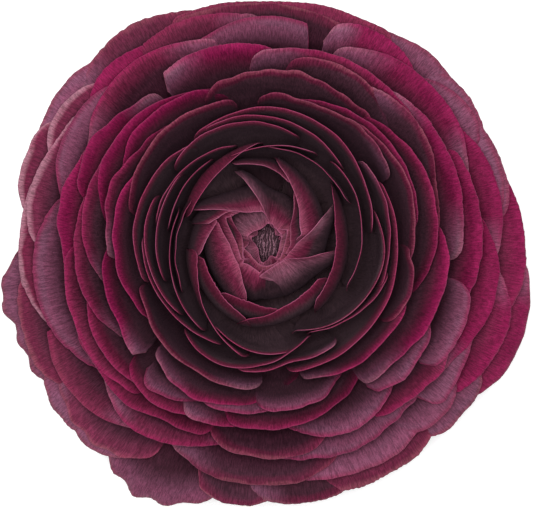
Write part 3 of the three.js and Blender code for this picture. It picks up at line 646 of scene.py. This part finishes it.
# The calyx.
SEPALS = 5
SEPAL_FIRST_ANGLE = 18
SEPAL_HALF_ANGLE = 29
SEPAL_PATH = [(5.3, 8.6), (12, 11.4), (20, 9.6), (24.6, 0.35)]
SEPAL_WIDTHS = ([0, 0.2, 0.45, 0.7, 0.88, 1], [0.62, 0.9, 1.0, 0.86, 0.5, 0.06])
SEPAL_THICKNESS = 0.7
SEPAL_KEEL = 0.35
SEPAL_KEEL_WIDTH = 0.12  # as a share of the sepal's half width
SEPAL_WAVE = 0.25
SEPAL_TIP_THINNING = 0.6
SEPAL_GRID = (25, 41)
COLLAR_RADIUS = 6.1
COLLAR_UP = 8.7
COLLAR_HALF_WIDTH = 0.95
COLLAR_HALF_HEIGHT = 1.25
COLLAR_GRID = (73, 17)

# What the green material is told of each point, where "mauve" is the tint of the cut face or a sepal's tip.
GREEN_FACTS = ("vein", "depth", "mauve", "flush", "tone", "number")


def stem(material):
    """The short cut stub of the stalk, ribbed, with the receptacle that carries the petals."""
    draw = np.random.default_rng(SEED + 1)
    sheets = Sheets("stem_dressed", 1, GREEN_FACTS)
    lengths = np.concatenate([[0], np.cumsum(np.linalg.norm(np.diff(STEM_PROFILE, axis=0), axis=1))])
    turn, at = np.meshgrid(
        np.linspace(0, 2 * math.pi, STEM_SIDES + 1), np.linspace(0, lengths[-1], STEM_ROWS))
    out, up = (np.interp(at, lengths, places) for places in zip(*STEM_PROFILE))
    fullness = np.clip(out / STEM_FULL, 0, 1)
    out = out + np.cos(turn * STEM_RIDGES) * STEM_RIDGE * fullness**4 - STEM_RIDGE * fullness
    cut_face = np.clip(1 - up / CUT_HEIGHT, 0, 1) * (out < STEM_PROFILE[1][0])
    sheets.add(
        around(out, turn, STEM_FOOT + up), vein=turn * 4, depth=up, tone=draw.uniform(-0.05, 0.05),
        mauve=cut_face, flush=ramp(up, *FLUSH_HEIGHTS))
    sheets.stand_for("stem", material)


def sepal(sheets, number, draw):
    """One sepal, which arches out from the collar and down to its tip."""
    side, share = np.meshgrid(np.linspace(-1, 1, SEPAL_GRID[0]), np.linspace(0, 1, SEPAL_GRID[1]))
    width = np.interp(share, *SEPAL_WIDTHS) * SEPAL_HALF_ANGLE
    angle = SEPAL_FIRST_ANGLE + 360 / SEPALS * number + side * width
    out, up = (bezier(places, share) for places in zip(*SEPAL_PATH))
    middle = around(out, np.radians(angle), up)
    upward = -normals(middle)
    keel = SEPAL_KEEL * np.exp(-((side / SEPAL_KEEL_WIDTH) ** 2)) * (1 - share)
    wave = SEPAL_WAVE * waves(draw, share * 4 + side, 3) * side**2 * (1 - share)
    half = SEPAL_THICKNESS * (1 - side**6) * (1 - SEPAL_TIP_THINNING * share**4) / 2
    sheets.add_blade(
        middle - upward * (half + keel - wave)[..., None], middle + upward * (half + wave)[..., None],
        vein=side * 9, depth=(1 - share) * 20, tone=draw.uniform(-0.1, 0.1), mauve=share**3,
        number=number * 1.7)


def collar(sheets):
    """The ring round the stem that the sepals grow from."""
    turn, part = np.meshgrid(*(np.linspace(0, 2 * math.pi, steps) for steps in COLLAR_GRID))
    out = COLLAR_RADIUS + COLLAR_HALF_WIDTH * np.cos(part)
    up = COLLAR_UP + COLLAR_HALF_HEIGHT * np.sin(part)
    sheets.add(around(out, turn, up), vein=turn * 6, depth=up, number=9.0)


def calyx(material):
    """Five sepals on a collar. The bloom rests on their tips and on the stem's foot."""
    draw = np.random.default_rng(SEED + 2)
    sheets = Sheets("calyx_dressed", SEPALS, GREEN_FACTS)
    for number in range(SEPALS):
        sepal(sheets, number, draw)
    collar(sheets)
    sheets.stand_for("calyx", material)


class Shader:
    """A material's nodes, added and linked by short calls."""

    def __init__(self, name):
        self.material = bpy.data.materials.new(name)
        self.material.use_nodes = True
        self.tree = self.material.node_tree
        self.surface = self.tree.nodes["Principled BSDF"]

    def node(self, kind, **settings):
        made = self.tree.nodes.new(kind)
        for key, value in settings.items():
            setattr(made, key, value)
        return made

    def set(self, socket, value):
        if isinstance(value, bpy.types.NodeSocket):
            self.tree.links.new(value, socket)
        else:
            socket.default_value = value

    def surface_values(self, **values):
        """Sets inputs of the surface by their names, in small letters and with underscores."""
        names = {socket.name.lower().replace(" ", "_"): socket for socket in self.surface.inputs}
        for key, value in values.items():
            self.set(names[key], value)

    def fact(self, name):
        return self.node("ShaderNodeAttribute", attribute_name=name).outputs["Fac"]

    def math(self, operation, *values, clamp=False):
        made = self.node("ShaderNodeMath", operation=operation, use_clamp=clamp)
        for socket, value in zip(made.inputs, values):
            self.set(socket, value)
        return made.outputs[0]

    def times(self, first, second, clamp=False):
        return self.math("MULTIPLY", first, second, clamp=clamp)

    def span(self, value, low, high, to=(0.0, 1.0)):
        """Runs smoothly between two numbers as the value runs from low to high."""
        made = self.node("ShaderNodeMapRange", interpolation_type="SMOOTHSTEP")
        for socket, number in zip(made.inputs, (value, low, high, *to)):
            self.set(socket, number)
        return made.outputs[0]

    def vector(self, x, y, z):
        made = self.node("ShaderNodeCombineXYZ")
        for socket, value in zip(made.inputs, (x, y, z)):
            self.set(socket, value)
        return made.outputs[0]

    def noise(self, vector, scale, detail, roughness=0.5):
        made = self.node("ShaderNodeTexNoise")
        settings = {"Vector": vector, "Scale": scale, "Detail": detail, "Roughness": roughness}
        for key, value in settings.items():
            self.set(made.inputs[key], value)
        return made.outputs["Fac"]

    def mix(self, share, first, second, blend="MIX"):
        made = self.node("ShaderNodeMix", data_type="RGBA", blend_type=blend)
        self.set(made.inputs[0], share)
        for socket, value in ((made.inputs[6], first), (made.inputs[7], second)):
            self.set(socket, value if isinstance(value, bpy.types.NodeSocket) else (*value, 1))
        return made.outputs[2]

    def shaded(self, colour, shade):
        """The colour, darker or lighter by a factor."""
        return self.mix(1.0, colour, self.vector(shade, shade, shade), "MULTIPLY")

    def bump(self, height, strength, distance):
        made = self.node("ShaderNodeBump")
        self.set(made.inputs["Strength"], strength)
        self.set(made.inputs["Distance"], distance * MM)
        self.set(made.inputs["Height"], height)
        self.set(self.surface.inputs["Normal"], made.outputs[0])


# Petal tissue. Each slot's colours at the rim, on the face, deep down the blade (painted shade where the
# petal runs down under the one over it, greyed and lifted as painted light that comes through the petals)
# and where it is mauve (painted sheen; on the heart core's crests a painted highlight), how strong the thin
# pale edge is (painted rim light), how far down the rim's colour fades into the painted shade, and how the
# surface shines.
PETAL_LOOKS = {
    "petal_heart": dict(
        rim=(0.235, 0.046, 0.090), face=(0.140, 0.016, 0.045), deep=(0.056, 0.026, 0.035),
        mauve=(0.260, 0.100, 0.150), edge=0.6, fade=1.7, sheen=0.03, gloss=0.12),
    "petal_dark": dict(
        rim=(0.210, 0.018, 0.058), face=(0.150, 0.013, 0.042), deep=(0.094, 0.052, 0.063),
        mauve=(0.220, 0.070, 0.130), edge=0.55, fade=2.1, sheen=0.03, gloss=0.06),
    "petal_magenta": dict(
        rim=(0.200, 0.010, 0.055), face=(0.118, 0.011, 0.036), deep=(0.080, 0.027, 0.043),
        mauve=(0.200, 0.068, 0.122), edge=0.22, fade=2.7, sheen=0.025, gloss=0.06),
    "stamen_dark": dict(
        rim=(0.240, 0.110, 0.150), face=(0.110, 0.045, 0.065), deep=(0.035, 0.013, 0.020),
        mauve=(0.340, 0.180, 0.230), edge=0.0, fade=1.4, sheen=0.05, gloss=0.15),
}
SHEEN_TINT = (0.9, 0.55, 0.75, 1)
# Painted light: bright petals, painted as lit, turn this vivid magenta near their rims.
VIVID_MAGENTA = (0.172, 0.005, 0.048)  # the rims of bright petals
VIVID_RIMS = (24, 32)
VIVID_SHARE = 0.68
GUARD_RIM = (0.22, 0.045, 0.075)  # the guard petals' rims, which are ruddier
GUARD_RIMS = (46, 53)
# Painted shade deep down the outer petals, which darkens the gaps between them.
GUARD_PAINTED_SHADE = (0.052, 0.013, 0.025)  # deep down the outer petals
GUARD_PAINTED_SHADE_RIMS = (34, 44)
PALE_HIGHLIGHT = (0.36, 0.17, 0.22)  # painted highlight: the pale pink sheen near the rims of pale petals
# Painted rim light: the thin pale line along the petals' rims.
EDGE_LIGHT_PINK = (0.36, 0.10, 0.19)
EDGE_RIMS = (18, 34)  # the thin edge weakens with the rim's distance
EDGE_WEAKEST = 0.12


def petal_grain(shader, fact):
    """Fine lines that fan out along the blade, finer and shorter ones over them, and soft patches."""
    vein, depth, number = fact["vein"], fact["depth"], fact["number"]
    along_vein = shader.vector(vein, shader.times(depth, 0.09), number)
    lines = shader.noise(along_vein, scale=4.4, detail=3, roughness=0.65)
    shorter = shader.vector(vein, shader.times(depth, 0.22), number)
    fine = shader.noise(shorter, scale=9.0, detail=2, roughness=0.7)
    broad = shader.vector(shader.times(vein, 0.6), depth, number)
    patches = shader.noise(broad, scale=0.2, detail=2)
    return lines, fine, patches


def petal_colour(shader, fact, patches, look):
    """The colours down the blade in painted shade, with mauve patches of painted sheen, pale tips of
    painted highlight and a thin edge of painted rim light.
    """
    depth, painted_light, rim = fact["depth"], fact["painted_light"], fact["rim"]
    fade = look["fade"]
    # From the rim down the blade the colour darkens in painted shade, farther down where the petal is
    # bright (painted light).
    uneven = shader.math("ADD", depth, shader.span(patches, 0.3, 0.7, to=(-0.9, 0.9)))
    reach = shader.math("DIVIDE", uneven, shader.math("MULTIPLY_ADD", painted_light, 0.6, 1.0))
    ruddy = shader.math("SUBTRACT", shader.span(rim, *GUARD_RIMS), shader.times(painted_light, 0.9), clamp=True)
    rim_colour = shader.mix(ruddy, look["rim"], GUARD_RIM)
    colour = shader.mix(shader.span(reach, 0.0, fade), rim_colour, look["face"])
    # Bright petals, painted as lit, turn vivid magenta near the rim (painted light).
    vivid = shader.times(painted_light, shader.span(rim, *VIVID_RIMS, to=(0.0, VIVID_SHARE)), clamp=True)
    vivid = shader.times(vivid, shader.span(reach, 0.5 * fade, 2.2 * fade, to=(1.0, 0.2)))
    colour = shader.mix(vivid, colour, VIVID_MAGENTA)
    # Deep down the blade: painted shade, darker on the outer petals.
    deep = shader.mix(shader.span(rim, *GUARD_PAINTED_SHADE_RIMS), look["deep"], GUARD_PAINTED_SHADE)
    colour = shader.mix(shader.span(reach, fade, 3.5 * fade), colour, deep)
    # Mauve, a painted sheen, lies in patches below the rim, up to the rim where the petal is pale, and
    # fades with depth.
    veil = shader.times(fact["mauve"], shader.span(patches, 0.25, 0.65, to=(1.15, 0.6)), clamp=True)
    below_rim = shader.span(depth, 0.2, 2.2, to=(0.35, 1.0))
    veil = shader.times(veil, shader.math("MAXIMUM", below_rim, fact["pale"]))
    veil = shader.times(veil, shader.span(depth, 1.2 * fade, 5 * fade, to=(1.0, 0.0)))
    colour = shader.mix(veil, colour, look["mauve"])
    # Pale petals and the corners of mauve ends get a painted highlight near the rim.
    pale_highlight = shader.times(fact["pale"], shader.span(reach, 0.0, 2.4, to=(0.75, 0.0)))
    colour = shader.mix(pale_highlight, colour, PALE_HIGHLIGHT)
    # The thin pale edge along the rim is painted rim light, weaker on the outer petals.
    edge = shader.span(rim, *EDGE_RIMS, to=(look["edge"], EDGE_WEAKEST))
    edge = shader.times(shader.span(depth, 0.05, 0.35, to=(1.0, 0.0)), edge)
    return colour, shader.times(edge, shader.span(patches, 0.35, 0.6, to=(1.0, 0.35)))


def petal_material(name, look):
    """Petal tissue: bright at the rim, darker down the blade in painted shade, with mauve patches of
    painted sheen, veins and a pale edge of painted rim light.
    """
    shader = Shader(name)
    fact = {key: shader.fact(key) for key in PETAL_FACTS}
    lines, fine, patches = petal_grain(shader, fact)
    colour, edge = petal_colour(shader, fact, patches, look)
    shade = shader.span(lines, 0.32, 0.68, to=(0.64, 1.30))
    shade = shader.times(shade, shader.span(fine, 0.3, 0.7, to=(0.78, 1.18)))
    shade = shader.times(shade, shader.span(patches, 0.3, 0.7, to=(0.82, 1.18)))
    shade = shader.times(shade, shader.math("ADD", fact["tone"], 1.0))
    # Painted light and shade: bright petals lighter, dark ones darker.
    shade = shader.times(shade, shader.math("MULTIPLY_ADD", fact["painted_light"], 0.14, 1.0))
    shader.surface_values(
        base_color=shader.mix(edge, shader.shaded(colour, shade), EDGE_LIGHT_PINK),
        roughness=shader.span(fine, 0.3, 0.7, to=(0.48, 0.68)), sheen_weight=look["sheen"],
        sheen_roughness=0.5, sheen_tint=SHEEN_TINT, specular_ior_level=look["gloss"])
    shader.bump(shader.math("MULTIPLY_ADD", fine, 0.5, lines), strength=0.7, distance=0.25)
    return shader.material


# Green skin. Each slot's two greens, in patches, and its colour at the cut face or the sepals' tips.
GREEN_LOOKS = {
    "stem_green": dict(dark=(0.10, 0.17, 0.035), light=(0.17, 0.26, 0.07), tip=(0.45, 0.5, 0.28)),
    "sepal_green": dict(dark=(0.09, 0.15, 0.03), light=(0.16, 0.24, 0.06), tip=(0.20, 0.06, 0.07)),
}
RECEPTACLE_TOP = (0.050, 0.012, 0.022)


def green_material(name, look):
    """Fleshy green skin with fine ribs and a faint fuzz."""
    shader = Shader(name)
    fact = {key: shader.fact(key) for key in GREEN_FACTS}
    vein, depth, number = fact["vein"], fact["depth"], fact["number"]
    along_rib = shader.vector(vein, shader.times(depth, 0.15), number)
    lines = shader.noise(along_rib, scale=1.6, detail=4, roughness=0.6)
    patches = shader.noise(shader.vector(vein, depth, number), scale=0.35, detail=3)
    colour = shader.mix(shader.span(patches, 0.3, 0.7), look["dark"], look["light"])
    colour = shader.mix(shader.times(fact["mauve"], 0.7), colour, look["tip"])
    colour = shader.mix(fact["flush"], colour, RECEPTACLE_TOP)
    shader.surface_values(
        base_color=shader.shaded(colour, shader.span(lines, 0.3, 0.7, to=(0.75, 1.15))),
        roughness=shader.span(lines, 0.3, 0.7, to=(0.45, 0.65)), sheen_weight=0.2)
    shader.bump(lines, strength=0.6, distance=0.3)
    return shader.material


# The camera.
PHOTO_MM_PER_PIXEL = 0.2
PHOTO_SIZE = (533, 507)
PHOTO_HEART = (267, 244)  # the pixel of the flower's axis
LENS_MM = 500
SENSOR_MM = 36
FRAMED_UP = 34  # the height at which the frame is as wide as the photo
CLIP_METRES = (0.01, 20)

# The studio, in metres and watts.
FLOOR_REACH = 3.0
FLOOR_WHITE = (0.93, 0.93, 0.93, 1)
FLOOR_GLOW = 0.3
SKY_STRENGTH = 0.52
WHITE = (1, 1, 1, 1)
LAMPS = {
    "overhead": dict(place=(0.0, 0.02, 1.3), size=0.35, power=12.5),
    "key": dict(place=(-0.3, 0.34, 1.05), size=1.1, power=4.5),
}


def camera():
    """Straight down on the bloom through a long lens, framed as the photo is."""
    width, height = PHOTO_SIZE
    x = AXIS[0] + (width / 2 - PHOTO_HEART[0]) * PHOTO_MM_PER_PIXEL
    y = AXIS[1] - (height / 2 - PHOTO_HEART[1]) * PHOTO_MM_PER_PIXEL
    distance = width * PHOTO_MM_PER_PIXEL * LENS_MM / SENSOR_MM
    data = bpy.data.cameras.new("camera")
    data.lens = LENS_MM
    data.sensor_width = SENSOR_MM
    data.clip_start, data.clip_end = CLIP_METRES
    made = bpy.data.objects.new("camera", data)
    made.location = (x * MM, y * MM, (FRAMED_UP + distance) * MM)
    bpy.context.scene.collection.objects.link(made)
    bpy.context.scene.camera = made


def floor():
    """A white floor."""
    mesh = bpy.data.meshes.new("floor")
    corners = [(x * FLOOR_REACH, y * FLOOR_REACH, 0) for x, y in ((-1, -1), (1, -1), (1, 1), (-1, 1))]
    mesh.from_pydata(corners, [], [(0, 1, 2, 3)])
    made = bpy.data.objects.new("floor", mesh)
    bpy.context.scene.collection.objects.link(made)
    shader = Shader("floor_white")
    shader.surface_values(
        base_color=FLOOR_WHITE, roughness=0.9, emission_color=WHITE, emission_strength=FLOOR_GLOW)
    mesh.materials.append(shader.material)


def lights():
    """Soft white light from above."""
    world = bpy.data.worlds.new("studio")
    world.use_nodes = True
    sky = world.node_tree.nodes["Background"]
    sky.inputs["Color"].default_value = WHITE
    sky.inputs["Strength"].default_value = SKY_STRENGTH
    bpy.context.scene.world = world
    for name, lamp in LAMPS.items():
        data = bpy.data.lights.new(name, "AREA")
        data.size = lamp["size"]
        data.energy = lamp["power"]
        light = bpy.data.objects.new(name, data)
        light.location = lamp["place"]
        light.rotation_euler = (-light.location).to_track_quat("-Z", "Y").to_euler()
        bpy.context.scene.collection.objects.link(light)
    bpy.context.scene.view_settings.view_transform = "Standard"


camera()
floor()
lights()

materials = {slot: petal_material(slot, look) for slot, look in PETAL_LOOKS.items()}
materials |= {slot: green_material(slot, look) for slot, look in GREEN_LOOKS.items()}

heart_core(materials["stamen_dark"])
stem(materials["stem_green"])
calyx(materials["sepal_green"])
for node, shape in WHORLS.items():
    whorl(node, materials[shape["slot"]])
